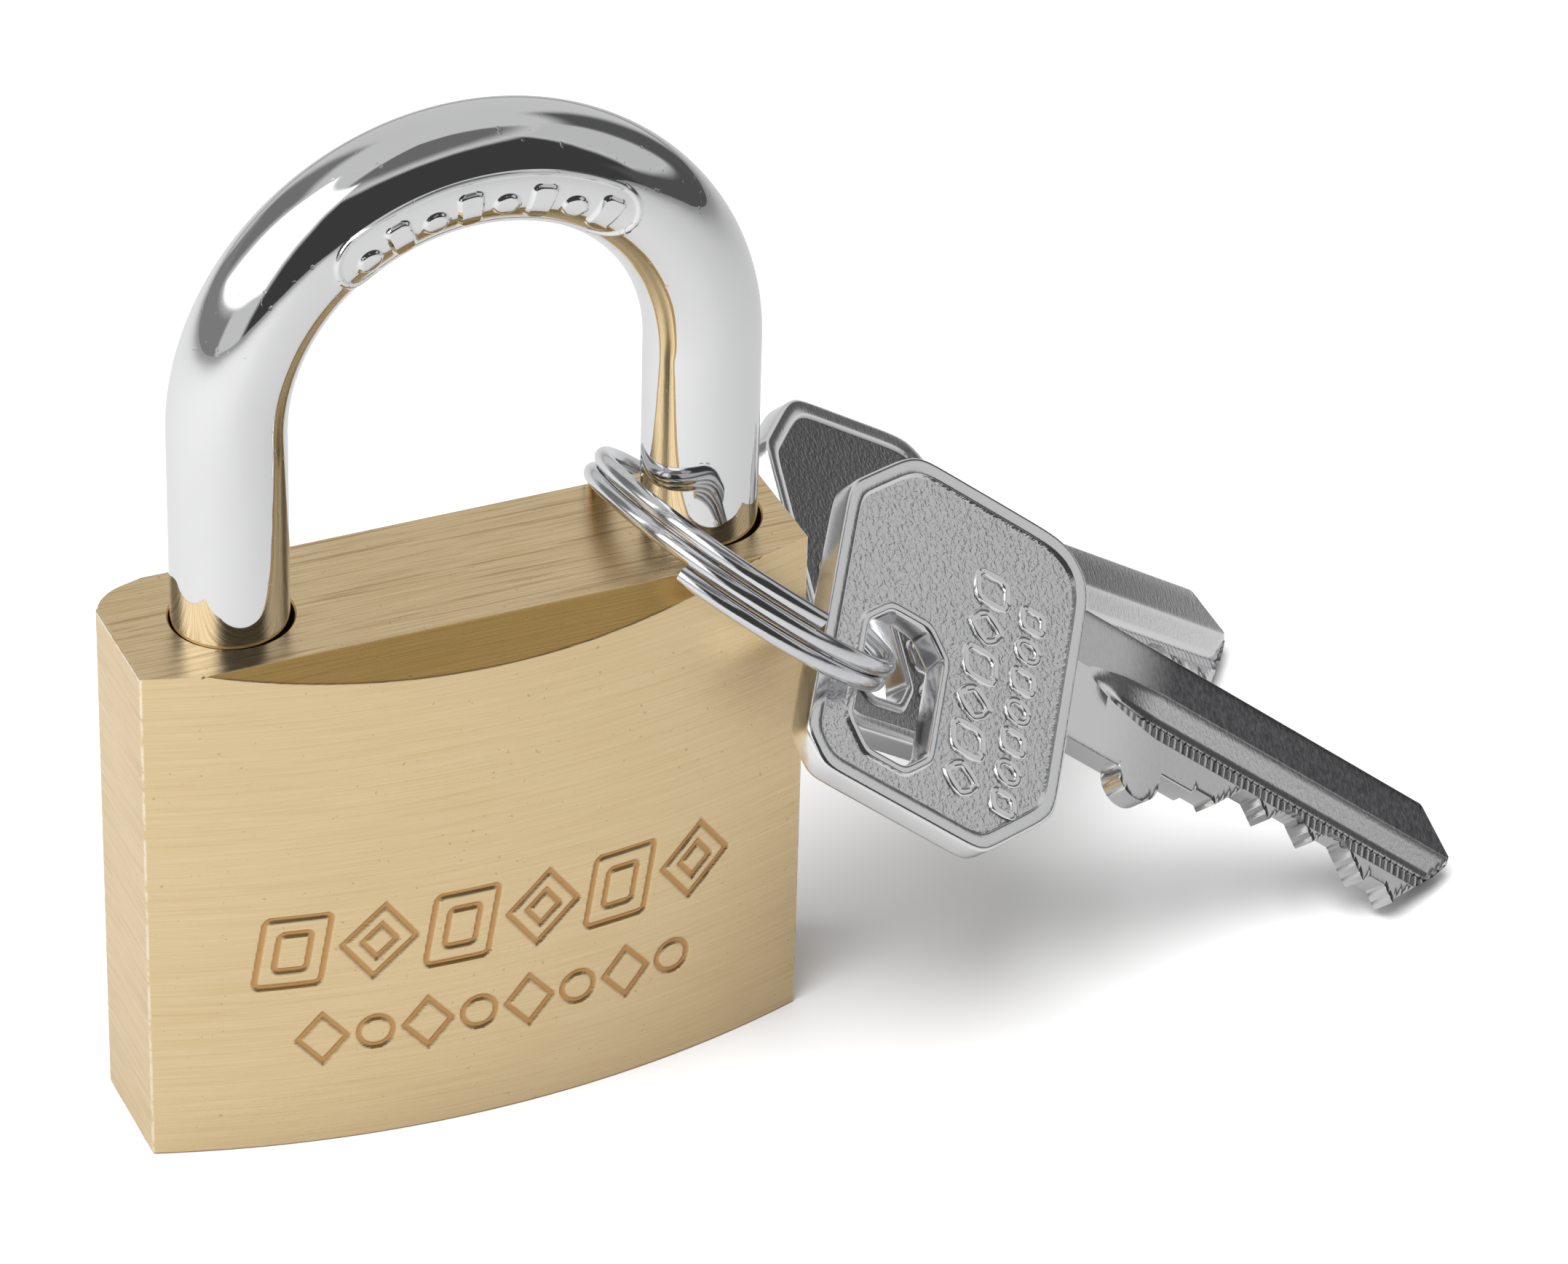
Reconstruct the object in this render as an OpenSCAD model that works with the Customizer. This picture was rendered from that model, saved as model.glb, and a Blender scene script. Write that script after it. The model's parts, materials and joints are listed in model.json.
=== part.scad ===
// Solid-brass pin-tumbler padlock with its split ring and two keys.
// Millimetres. Origin: where the cylinder's axis, midway between the legs, meets the base plane.
// +X to the toe leg, +Y to the back, +Z up.

/* [Body] */
// Width of the body
body_w = 50; // [49:0.5:51]
// Height of the body
body_h = 41; // [40.5:0.5:42]
// Thickness at the middle, where the faces crown
body_t_mid = 18.8; // [18.4:0.2:20]
// Thickness at the two ends
body_t_end = 10.7; // [10.4:0.1:11.5]
// Distance from the middle plane at which the sloped top facets start
facet_y = 6.65; // [6.4:0.05:7]
// Drop of a top facet per millimetre outwards
facet_slope = 0.86; // [0.7:0.02:1]

/* [Shackle] */
// Diameter of the shackle bar
bar_d = 8.4; // [8.2:0.1:8.4]
// Distance between the two legs, axis to axis
leg_span = 35.3; // [35:0.1:35.6]
// How far the body's middle stands off the middle of the legs, towards the heel leg
body_shift = 1.15; // [0.9:0.05:1.3]
// Height of the bend's centre above the body
bend_rise = 15; // [14:0.5:24]
// Travel of the shackle when it springs open
shackle_lift = 14; // [13.5:0.5:14]
// Radial gap between a leg and its hole
leg_gap = 0.35; // [0.3:0.05:0.4]

/* [Cylinder] */
// Diameter of the plug
plug_d = 12; // [11.8:0.1:12]
// Radial running gap of the plug and the bolts
run_gap = 0.05; // [0.03:0.01:0.08]
// Distance between two pin chambers
pin_pitch = 4.4; // [4.3:0.1:4.4]
// Diameter of the pins
pin_d = 2.8; // [2.6:0.1:2.8]
// Throw of each locking bolt over a quarter turn of the key
bolt_throw = 2.3; // [2.1:0.1:2.3]

/* [Key] */
// Thickness of the key blank
key_t = 2.2; // [2.1:0.1:2.3]
// Height of the blade
blade_h = 9.7; // [9.5:0.1:9.8]
// Length of the blade from its stop to its tip
blade_l = 28.5; // [28:0.5:28.5]

/* [Split ring] */
// Mean diameter of the split ring
ring_d = 25.2; // [25:0.1:25.4]
// Diameter of the ring's wire
ring_wire = 1.3; // [1.2:0.05:1.35]

/* [Hidden] */
PINS = [1, 2, 3, 4, 5];
$fn = 64;
eps = 0.01;

// body: the radius of the crowned faces, and how far a face stands from the middle plane at x
crown = (body_t_mid - body_t_end) / 2;
face_r = (pow(body_w / 2, 2) + pow(crown, 2)) / (2 * crown);
body_x = -body_shift;
end_x = body_x + body_w / 2;
function face_y(x) = body_t_mid / 2 - face_r + sqrt(pow(face_r, 2) - pow(x - body_x, 2));

// shackle legs: the heel stays in the body, the toe comes out
bar_r = bar_d / 2;
heel_x = -leg_span / 2;
toe_x = leg_span / 2;
hole_r = bar_r + leg_gap;
heel_hole_z = 5;
heel_end_z = 12.2;
toe_hole_z = 28.4;
toe_end_z = 29.2;
bend_z = body_h + bend_rise;
leg_chamfer = 0.8;

// heel retaining pin, which runs in a flat and an end groove of the heel leg
heel_pin_r = 1.1;
heel_pin_z = 29;
heel_flat = 2.7;
heel_pin_x = heel_x - heel_flat - heel_pin_r - 0.1;
heel_play = 0.3;

// plug, from its face just inside the base to its top
plug_r = plug_d / 2;
plug_z0 = 0.4;
plug_z1 = 29.2;
key_stop_z = plug_z0;
pin_first = 4.3;
function pin_z(i) = key_stop_z + pin_first + pin_pitch * (i - 1);
plug_groove_z = 25.6;
plug_groove_r = plug_r - 1;
plug_groove_w = 2.2;
plug_pin_r = 0.9;
plug_pin_x = -plug_groove_r - plug_pin_r - 0.06;
keyway_w = key_t + 0.3;
blade_back = 4.75;

// pins: the height that each cut leaves on the blade, measured from the blade's back
pin_r = pin_d / 2;
chamber_r = pin_r + run_gap;
cut_heights = [9.2, 7.0, 6.6, 6.5, 8.2];
pin_gap = 0.05;
key_pin_end = sqrt(pow(plug_r, 2) - pow(pin_r, 2));
chamber_floor = 0.4;
driver_l = 4.5;
chamber_plug_l = 2.8;
spring_seat_x = end_x - chamber_plug_l;
driver_x = plug_r + 2 * pin_gap;

// cam and bolts: two crank pins opposite each other, each in a slot of its own bolt
bolt_r = 3;
bolt_z = 34.2;
crank = bolt_throw / 2;
crank_pin_r = 0.6;
cam_z = [plug_z1, 31.0];
cam_r = 5.4;
bore_top_z = 37.6;
bolt_nose = leg_span / 2 - bar_r - 0.25;
bolt_root = 2.9;
tongue_end = 2.5;
slot_gap = 0.15;
tongue_split = 0.15;
notch_r = bolt_r + 0.3;
notch_depth = bolt_throw + 0.05;

// springs
shackle_coil = [3.1, 0.35, 7];
pin_coil = [1.05, 0.15, 9];

// key: outline points run from the centre of the bow's hole, blade along +X, back edge up
bow_left = -7.3;
bow_right = 15.7;
bow_top = 18.9;
bow_bottom = -9;
blade_top = 14.4;
blade_bottom = blade_top - blade_h;
stop_x = 24.7;
tip_x = stop_x + blade_l;
hole_half = [3.5, 5.7];
hole_cut = 1.8;
rim_w = 1.3;
rim_h = 0.25;
hole_rim_w = 0.8;

// where the ring and the keys lie: position, then turns about X, Y and Z
ring_pose = [[20.75, -0.6, 36.1], [0, 41.4, 9.9]];
key_poses = [[[29.45, -9.6, 29.31], [33.4, 37.6, -10.8]], [[31.9, 1.2, 27.06], [39.4, 35.7, 18.8]]];
ring_turns = 2.13;
ring_start = -150;

module at(pose) { translate(pose[0]) rotate([0, 0, pose[1][2]]) rotate([0, pose[1][1], 0])
    rotate([pose[1][0], 0, 0]) children(); }

// a round bar along +X from x0 to x1
module bar_x(r, x0, x1) { translate([x0, 0, 0]) rotate([0, 90, 0]) cylinder(r = r, h = x1 - x0); }

// a round bar along +Y from y0 to y1
module bar_y(r, y0, y1) { translate([0, y0, 0]) rotate([-90, 0, 0]) cylinder(r = r, h = y1 - y0); }

// points of a helix about Z: radius, rise per turn, turns and the angle it starts from
function helix(r, rise, turns, start, steps) = [for (k = [0:steps])
    let (a = start + 360 * turns * k / steps)
    [r * cos(a), r * sin(a), rise * turns * (k / steps - 0.5)]];

// a round wire swept along a helix about Z, as one closed mesh
module coil_wire(r, wire, rise, turns, start, steps, sides) {
    path = helix(r, rise, turns, start, steps);
    pitch = atan(rise / (2 * PI * r));
    ring_points = [for (k = [0:steps], j = [0:sides - 1])
        let (a = start + 360 * turns * k / steps, b = 360 * j / sides)
        path[k] + wire * (cos(b) * [cos(a), sin(a), 0]
            + sin(b) * [-sin(pitch) * -sin(a), -sin(pitch) * cos(a), cos(pitch)])];
    walls = [for (k = [0:steps - 1], j = [0:sides - 1])
        let (m = (j + 1) % sides, p = k * sides)
        [p + j, p + m, p + sides + m, p + sides + j]];
    first = [for (j = [0:sides - 1]) sides - 1 - j];
    last = [for (j = [0:sides - 1]) steps * sides + j];
    polyhedron(points = ring_points, faces = concat([first], walls, [last]));
}

// plan of the body: two crowned faces cut off by flat ends
module body_plan() {
    translate([body_x, 0]) intersection() {
        square([body_w, body_t_mid + 2], center = true);
        translate([0, body_t_mid / 2 - face_r]) circle(r = face_r, $fn = 360);
        translate([0, face_r - body_t_mid / 2]) circle(r = face_r, $fn = 360);
    }
}

// wedge that leaves a sloped facet along one top edge
module facet_wedge() {
    out = body_t_mid / 2 + 1;
    rotate([90, 0, 90]) translate([0, 0, -body_w]) linear_extrude(2 * body_w)
        polygon([[facet_y, body_h], [out, body_h - facet_slope * (out - facet_y)],
                 [out, body_h + 1], [facet_y, body_h + 1]]);
}

module lock_body() {
    color([0.82, 0.71, 0.5]) difference() {
        linear_extrude(body_h) body_plan();
        facet_wedge();
        mirror([0, 1, 0]) facet_wedge();
        translate([heel_x, 0, heel_hole_z]) cylinder(r = hole_r, h = body_h);
        translate([toe_x, 0, toe_hole_z]) cylinder(r = hole_r, h = body_h);
        translate([0, 0, -1]) cylinder(r = plug_r + run_gap, h = bore_top_z + 1);
        translate([0, 0, bolt_z]) bar_x(bolt_r + run_gap, heel_x, end_x + 1);
        for (i = PINS) translate([0, 0, pin_z(i)]) bar_x(chamber_r, 0, end_x + 1);
        translate([heel_pin_x, 0, heel_pin_z]) bar_y(heel_pin_r, -bar_r, body_t_mid);
        translate([plug_pin_x, 0, plug_groove_z]) bar_y(plug_pin_r, -plug_r / 2, body_t_mid);
    }
}

// one leg from its end to the bend, with a broken end edge
module leg(x, end_z) {
    translate([x, 0, end_z]) {
        cylinder(r1 = bar_r - leg_chamfer, r2 = bar_r, h = leg_chamfer);
        translate([0, 0, leg_chamfer - eps]) cylinder(r = bar_r, h = bend_z - end_z - leg_chamfer + eps);
    }
}

module shackle() {
    color([0.85, 0.86, 0.88]) difference() {
        union() {
            leg(heel_x, heel_end_z);
            leg(toe_x, toe_end_z);
            translate([0, 0, bend_z]) rotate([90, 0, 0])
                rotate_extrude(angle = 180) translate([leg_span / 2, 0]) circle(r = bar_r);
        }
        for (s = [-1, 1]) translate([0, 0, bolt_z]) mirror([s < 0 ? 1 : 0, 0, 0])
            bar_x(notch_r, leg_span / 2 - bar_r - 1, leg_span / 2 - bar_r + notch_depth);
        heel_guides();
    }
}

// the heel's long flat and its end groove, where the retaining pin runs
module heel_guides() {
    low = heel_pin_z - shackle_lift - heel_pin_r - heel_play;
    high = heel_pin_z + heel_pin_r + heel_play;
    translate([heel_x - heel_flat - bar_r, -bar_r - 1, low]) cube([bar_r, bar_d + 2, high - low]);
    translate([heel_x, 0, low]) difference() {
        cylinder(r = bar_r + 1, h = 2 * (heel_pin_r + heel_play));
        translate([0, 0, -1]) cylinder(r = heel_flat, h = 2 * (heel_pin_r + heel_play) + 2);
    }
}

// the plug stands at the angle where the key has been turned: its chambers face +Y
module plug() {
    color([0.8, 0.66, 0.36]) difference() {
        translate([0, 0, plug_z0]) cylinder(r = plug_r, h = plug_z1 - plug_z0);
        translate([0, 0, plug_groove_z - plug_groove_w / 2]) difference() {
            cylinder(r = plug_r + 1, h = plug_groove_w);
            translate([0, 0, -1]) cylinder(r = plug_groove_r, h = plug_groove_w + 2);
        }
        translate([-keyway_w / 2, -blade_back, plug_z0 - 1])
            cube([keyway_w, blade_h + 0.2, blade_l + 1.2]);
        for (i = PINS) translate([0, 0, pin_z(i)]) bar_y(chamber_r, chamber_floor, plug_r + 1);
    }
}

// drive disc on the plug with one crank pin for each bolt
module cam() {
    color([0.62, 0.62, 0.64]) {
        translate([0, 0, cam_z[0]]) cylinder(r = cam_r, h = cam_z[1] - cam_z[0]);
        for (s = [-1, 1]) translate([-s * crank, s * crank, cam_z[1] - eps])
            cylinder(r = crank_pin_r, h = bolt_z + bolt_r - 0.6 - cam_z[1]);
    }
}

// the toe side's bolt: a round bolt whose half-round tongue is slotted for its crank pin
module bolt() {
    slot_w = 2 * (crank_pin_r + slot_gap);
    difference() {
        union() {
            bar_x(bolt_r, bolt_root, bolt_nose - 0.5);
            translate([bolt_nose - 0.5 - eps, 0, 0]) rotate([0, 90, 0])
                cylinder(r1 = bolt_r, r2 = bolt_r - 0.5, h = 0.5);
            intersection() {
                bar_x(bolt_r, -tongue_end, bolt_root + eps);
                translate([-tongue_end, tongue_split, -bolt_r + 0.4])
                    cube([tongue_end + bolt_root + 1, bolt_r, 2 * bolt_r - 0.8]);
            }
        }
        translate([-crank - slot_w / 2, tongue_split - 1, -bolt_r - 1])
            cube([slot_w, 1 + 1.65 + crank_pin_r, 2 * bolt_r + 2]);
    }
}

module bolt_right() { color([0.7, 0.7, 0.72]) translate([0, 0, bolt_z]) bolt(); }

module bolt_left() {
    color([0.7, 0.7, 0.72]) translate([0, 0, bolt_z]) rotate([0, 0, 180]) bolt();
}

module shackle_spring() {
    length = heel_end_z - heel_hole_z - 2 * shackle_coil[1] - 0.1;
    color([0.75, 0.75, 0.77]) translate([heel_x, 0, (heel_hole_z + heel_end_z) / 2])
        coil_wire(shackle_coil[0], shackle_coil[1], length / shackle_coil[2], shackle_coil[2], 0, 98, 7);
}

module heel_pin() {
    color([0.8, 0.68, 0.42]) translate([heel_pin_x, 0, heel_pin_z])
        bar_y(heel_pin_r, -bar_r + 0.1, face_y(heel_pin_x) - 0.15);
}

module plug_pin() {
    color([0.8, 0.68, 0.42]) translate([plug_pin_x, 0, plug_groove_z])
        bar_y(plug_pin_r, -plug_r / 2 + 0.1, face_y(plug_pin_x) - 0.15);
}

module bolt_bore_plug() {
    color([0.82, 0.71, 0.5]) translate([0, 0, bolt_z])
        bar_x(bolt_r + run_gap, toe_x + hole_r + 0.1, end_x - 0.05);
}

// a bottom pin: round-nosed, its outer end at the shear line
module key_pin(i) {
    length = key_pin_end + blade_back - cut_heights[i - 1];
    nose = 0.6;
    color([0.83, 0.7, 0.42]) translate([0, key_pin_end, pin_z(i)]) rotate([90, 0, 0]) {
        cylinder(r = pin_r, h = length - nose);
        translate([0, 0, length - nose - eps]) cylinder(r1 = pin_r, r2 = pin_r - nose, h = nose);
    }
}

module driver_pin(i) {
    color([0.75, 0.75, 0.78]) translate([0, 0, pin_z(i)]) bar_x(pin_r, driver_x, driver_x + driver_l);
}

module pin_spring(i) {
    x0 = driver_x + driver_l;
    length = spring_seat_x - x0 - 2 * pin_coil[1] - 0.1;
    color([0.75, 0.75, 0.77]) translate([(x0 + spring_seat_x) / 2, 0, pin_z(i)]) rotate([0, 90, 0])
        coil_wire(pin_coil[0], pin_coil[1], length / pin_coil[2], pin_coil[2], 0, 90, 5);
}

module chamber_plug(i) {
    color([0.82, 0.71, 0.5]) translate([0, 0, pin_z(i)])
        bar_x(chamber_r, spring_seat_x, end_x - 0.05);
}

// double-turn ring of round wire, its ends lapping a little
module split_ring() {
    color([0.72, 0.73, 0.75]) at(ring_pose)
        coil_wire(ring_d / 2, ring_wire / 2, ring_wire + 0.06, ring_turns, ring_start, 104, 10);
}

// an octagon from its box and the cut of its corners: top left, top right, bottom right, bottom left
module octagon(x0, y0, x1, y1, cuts) {
    polygon([[x0, y1 - cuts[0]], [x0 + cuts[0], y1], [x1 - cuts[1], y1], [x1, y1 - cuts[1]],
             [x1, y0 + cuts[2]], [x1 - cuts[2], y0], [x0 + cuts[3], y0], [x0, y0 + cuts[3]]]);
}

module bow_plan(inset) {
    octagon(bow_left + inset, bow_bottom + inset, bow_right - inset, bow_top - inset,
            [5.2, 2.6, 5.8, 2.2] - 0.4 * inset * [1, 1, 1, 1]);
}

module hole_plan(grow) {
    octagon(-hole_half[0] - grow, -hole_half[1] - grow, hole_half[0] + grow, hole_half[1] + grow,
            (hole_cut + 0.4 * grow) * [1, 1, 1, 1]);
}

// blade, neck and stop tab, with the five cuts taken out of the lower edge
module blade_plan() {
    tab_y = 1.8;
    difference() {
        union() {
            polygon([[bow_right - 2, blade_top], [tip_x - 3.5, blade_top], [tip_x, blade_top - 3.2],
                     [tip_x - 0.2, blade_top - 4.1], [tip_x - 4.8, blade_bottom + 0.5],
                     [stop_x, blade_bottom], [bow_right - 2, blade_bottom - 1.1]]);
            translate([stop_x - 2, tab_y + 2]) circle(r = 2);
            translate([stop_x - 4, tab_y + 2]) square([4, 3]);
        }
        for (i = PINS) translate([stop_x + pin_first + pin_pitch * (i - 1), blade_top]) {
            root = -cut_heights[i - 1];
            flare = blade_h + 1 + root;
            polygon([[-0.7, root], [0.7, root], [0.7 + flare, root - flare], [-0.7 - flare, root - flare]]);
        }
    }
}

// one key lying in its own plane, front face up at z = 0
module key_blank() {
    field = key_t - 2 * rim_h;
    difference() {
        union() {
            translate([0, 0, -rim_h - field]) linear_extrude(field) bow_plan(0);
            translate([0, 0, -key_t]) linear_extrude(key_t) difference() {
                bow_plan(0);
                bow_plan(rim_w);
            }
            translate([0, 0, -key_t]) linear_extrude(key_t) hole_plan(hole_rim_w);
            translate([0, 0, -key_t]) linear_extrude(key_t) blade_plan();
        }
        translate([0, 0, -key_t - 1]) linear_extrude(key_t + 2) hole_plan(0);
        translate([stop_x - 6, blade_top - 7.2, -0.8]) cube([blade_l + 10, 2.2, 2]);
        translate([stop_x, blade_top - 4, -key_t - 1]) cube([blade_l + 4, 2, 1.7]);
    }
}

module key_1() { color([0.6, 0.61, 0.62]) at(key_poses[0]) key_blank(); }
module key_2() { color([0.5, 0.51, 0.52]) at(key_poses[1]) key_blank(); }

lock_body();
shackle();
plug();
cam();
bolt_left();
bolt_right();
shackle_spring();
heel_pin();
plug_pin();
bolt_bore_plug();
split_ring();
key_1();
key_2();
for (i = PINS) {
    key_pin(i);
    driver_pin(i);
    pin_spring(i);
    chamber_plug(i);
}
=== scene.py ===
import json
import math

import bmesh
import bpy
import numpy as np
from mathutils import Matrix, Vector


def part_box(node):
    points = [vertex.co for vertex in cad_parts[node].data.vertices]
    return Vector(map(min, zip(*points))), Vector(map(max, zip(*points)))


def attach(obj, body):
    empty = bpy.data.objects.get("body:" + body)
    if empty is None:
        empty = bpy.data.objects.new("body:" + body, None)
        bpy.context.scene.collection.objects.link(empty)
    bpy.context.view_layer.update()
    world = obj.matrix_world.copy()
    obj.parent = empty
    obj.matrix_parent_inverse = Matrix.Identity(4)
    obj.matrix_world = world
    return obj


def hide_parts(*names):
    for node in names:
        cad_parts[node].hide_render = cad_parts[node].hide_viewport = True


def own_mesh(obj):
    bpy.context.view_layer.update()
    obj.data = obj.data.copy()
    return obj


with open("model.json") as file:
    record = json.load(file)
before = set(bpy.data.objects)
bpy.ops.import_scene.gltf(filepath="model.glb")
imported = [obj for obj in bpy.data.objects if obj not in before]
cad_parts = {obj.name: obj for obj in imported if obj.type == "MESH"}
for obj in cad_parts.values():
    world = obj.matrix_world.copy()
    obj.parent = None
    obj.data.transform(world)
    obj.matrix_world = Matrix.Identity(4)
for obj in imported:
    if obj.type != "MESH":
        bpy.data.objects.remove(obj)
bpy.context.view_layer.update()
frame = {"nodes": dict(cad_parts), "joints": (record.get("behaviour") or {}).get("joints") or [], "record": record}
nodes = frame["nodes"]
print("frame loaded:", len(nodes), "nodes")


# mesh helpers: every shape below is worked out in millimetres as arrays, then written in metres

def gridFaces(rows, columns, closeRows=False, closeColumns=False, caps=False):
    # quads between neighbouring rows and columns of a grid, wrapping round where it is closed; caps are the
    # two many-sided faces at its ends
    i = np.arange(rows if closeRows else rows - 1)[:, None]
    j = np.arange(columns if closeColumns else columns - 1)[None, :]
    i2, j2 = (i + 1) % rows, (j + 1) % columns
    quads = np.stack([i * columns + j, i * columns + j2, i2 * columns + j2, i2 * columns + j], -1)
    quads = quads.reshape(-1, 4)
    if not caps:
        return [quads]
    return [quads, np.arange(columns)[None, :], np.arange((rows - 1) * columns, rows * columns)[None, ::-1]]


def newMesh(name, points, faceSets, marks=None):
    # coinciding points are merged, so strips of no width vanish, and faces are turned outwards; faceSets are
    # arrays of one face per row, and marks are named values, one per point
    mesh = bpy.data.meshes.new(name)
    metres = np.asarray(points, float).reshape(-1, 3) * 0.001
    mesh.from_pydata(metres.tolist(), [], [face for faces in faceSets for face in faces.tolist()])
    for markName, values in (marks or {}).items():
        mark = mesh.attributes.new(markName, "FLOAT", "POINT")
        mark.data.foreach_set("value", np.asarray(values, float).ravel())
    apart = 2e-7
    bm = bmesh.new()
    bm.from_mesh(mesh)
    bmesh.ops.remove_doubles(bm, verts=bm.verts, dist=apart)
    bmesh.ops.dissolve_degenerate(bm, edges=bm.edges, dist=apart)
    bmesh.ops.recalc_face_normals(bm, faces=bm.faces)
    bm.to_mesh(mesh)
    bm.free()
    return mesh


def addObject(name, data):
    # objects stay at the origin: a piece's place is in its mesh
    made = bpy.data.objects.new(name, data)
    bpy.context.scene.collection.objects.link(made)
    return made


def smoothStep(low, high, x):
    # 3t^2 - 2t^3, with t running from 0 at low to 1 at high
    t = np.clip((x - low) / (high - low), 0, 1)
    return t * t * (3 - 2 * t)


def tube(centre, across, upward, size, around):
    # rings carried along a path: centre + size (cos a across + sin a upward), for each angle a in around
    lean = np.cos(around)[None, :, None] * across[:, None] + np.sin(around)[None, :, None] * upward[:, None]
    return centre[:, None] + size[..., None] * lean


def lathe(profile, steps):
    # a profile of (radius, height) turned about Z, (r cos a, r sin a, height); it ends on the axis or where
    # it began
    profile = np.asarray(profile, float)
    turn = np.linspace(0, 2 * np.pi, steps, endpoint=False)
    rings = np.stack([profile[:, None, 0] * np.cos(turn), profile[:, None, 0] * np.sin(turn),
                      np.repeat(profile[:, 1:2], steps, 1)], -1)
    return rings, gridFaces(len(profile), steps, closeColumns=True)


def turned(points, axis):
    # swaps coordinates so that +Z becomes the named axis
    order = {"x": [2, 0, 1], "y": [1, 2, 0], "z": [0, 1, 2]}[axis]
    return np.asarray(points, float)[..., order]


def bore(radius, low, high, axis="z", place=(0, 0, 0), mouth=0.0, mouthAt="high", steps=72):
    # a round cutter from low to high along the axis; its open end is wider by mouth for a millimetre
    profile = [[0, low], [radius, low], [radius, high], [0, high]]
    if mouth and mouthAt == "high":
        profile[2:3] = [[radius, high - 1 - mouth], [radius + mouth, high - 1], [radius + mouth, high]]
    elif mouth:
        profile[1:2] = [[radius + mouth, low], [radius + mouth, low + 1], [radius, low + 1 + mouth]]
    points, faces = lathe(profile, steps)
    return turned(points, axis) + np.array(place, float), faces


def squareCutter(lowCorner, highCorner):
    # the eight corners low + unit (high - low) of an upright box
    low, high = np.array(lowCorner, float), np.array(highCorner, float)
    unit = np.array([[0, 0, 0], [1, 0, 0], [1, 1, 0], [0, 1, 0],
                     [0, 0, 1], [1, 0, 1], [1, 1, 1], [0, 1, 1]], float)
    sides = np.array([[0, 3, 2, 1], [4, 5, 6, 7], [0, 1, 5, 4], [1, 2, 6, 5], [2, 3, 7, 6], [3, 0, 4, 7]])
    return low + unit * (high - low), [sides]


def cutOut(mesh, cutters):
    # takes closed cutter shapes out of a closed mesh, one after another
    blank = addObject("blank", mesh)
    tools = []
    for points, faces in cutters:
        tool = addObject("cutter", newMesh("cutter", points, faces))
        cut = blank.modifiers.new("cut", "BOOLEAN")
        cut.operation, cut.object, cut.solver = "DIFFERENCE", tool, "MANIFOLD"
        tools.append(tool)
    bpy.context.view_layer.update()
    result = bpy.data.meshes.new_from_object(blank.evaluated_get(bpy.context.evaluated_depsgraph_get()))
    for used in [blank, *tools]:
        bpy.data.objects.remove(used)
    return result


def posed(points, pose):
    # turns about X, then Y, then Z, then moves: the same order as the frame's own placing
    place, (rx, ry, rz) = pose
    turn = (Matrix.Rotation(math.radians(rz), 3, "Z") @ Matrix.Rotation(math.radians(ry), 3, "Y")
            @ Matrix.Rotation(math.radians(rx), 3, "X"))
    return np.asarray(points, float) @ np.array(turn).T + np.array(place)


def finishPiece(name, mesh, body, node, slotName, crease):
    # smooth shading that breaks where faces meet at more than the crease angle, and the slot's own finish
    mesh.name = name
    mesh.shade_smooth()
    mesh.set_sharp_from_angle(angle=math.radians(crease))
    mesh.materials.clear()
    mesh.materials.append(finishes[slotName])
    piece = addObject(name, mesh)
    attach(piece, body)
    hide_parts(node)
    print("made", name, len(mesh.polygons), "faces")
    return piece


# shader helpers

class Wire:
    # one output of a node; sums, differences and products of wires add their Math nodes
    def __init__(self, shop, socket):
        self.shop, self.socket = shop, socket

    def combine(self, how, a, b):
        return self.shop.node("ShaderNodeMath", {"operation": how}, {0: a, 1: b})

    def __add__(self, other):
        return self.combine("ADD", self, other)

    def __sub__(self, other):
        return self.combine("SUBTRACT", self, other)

    def __rsub__(self, other):
        return self.combine("SUBTRACT", other, self)

    def __mul__(self, other):
        return self.combine("MULTIPLY", self, other)

    __radd__ = __add__
    __rmul__ = __mul__


class Shop:
    # a node tree with one method that adds any node
    def __init__(self, owner):
        owner.use_nodes = True
        self.tree = owner.node_tree
        self.tree.nodes.clear()

    def node(self, kind, settings=None, sockets=None, out=0):
        made = self.tree.nodes.new(kind)
        for key, value in (settings or {}).items():
            setattr(made, key, value)
        for key, value in (sockets or {}).items():
            if isinstance(value, Wire):
                self.tree.links.new(value.socket, made.inputs[key])
            else:
                made.inputs[key].default_value = value
        return Wire(self, made.outputs[out])

    def output(self, kind, shader):
        self.tree.links.new(shader.socket, self.tree.nodes.new(kind).inputs["Surface"])

    def mix(self, factor, first, second):
        return self.node("ShaderNodeMix", {"data_type": "RGBA"}, {0: factor, 6: first, 7: second}, out=2)

    def step(self, low, high, value):
        return self.node("ShaderNodeMapRange", {"interpolation_type": "SMOOTHSTEP"},
                         {"Value": value, "From Min": low, "From Max": high, "To Min": 0.0, "To Max": 1.0})

    def noise(self, vector, detail, rough):
        return self.node("ShaderNodeTexNoise", {},
                         {"Vector": vector, "Scale": 1.0, "Detail": detail, "Roughness": rough})

    def scaled(self, vector, scale):
        return self.node("ShaderNodeMapping", {}, {"Vector": vector, "Scale": scale})

    def stretched(self, point, per):
        # object coordinates counted in turns of the pattern per millimetre, one number or one per axis
        return self.scaled(point, [1000 * p for p in (per if isinstance(per, tuple) else (per,) * 3)])

    def mark(self, name):
        return self.node("ShaderNodeAttribute", {"attribute_name": name}, {}, out="Fac")

    def split(self, vector):
        made = self.node("ShaderNodeSeparateXYZ", {}, {"Vector": vector})
        return [Wire(self, made.socket.node.outputs[k]) for k in range(3)]

    def bump(self, height, strength, depth):
        return self.node("ShaderNodeBump", {}, {"Strength": strength, "Distance": depth, "Height": height})

    def metal(self, colour, roughness, normal):
        shader = self.node("ShaderNodeBsdfPrincipled", {},
                           {"Base Color": colour, "Roughness": roughness, "Metallic": 1.0, "Normal": normal})
        self.output("ShaderNodeOutputMaterial", shader)


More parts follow.
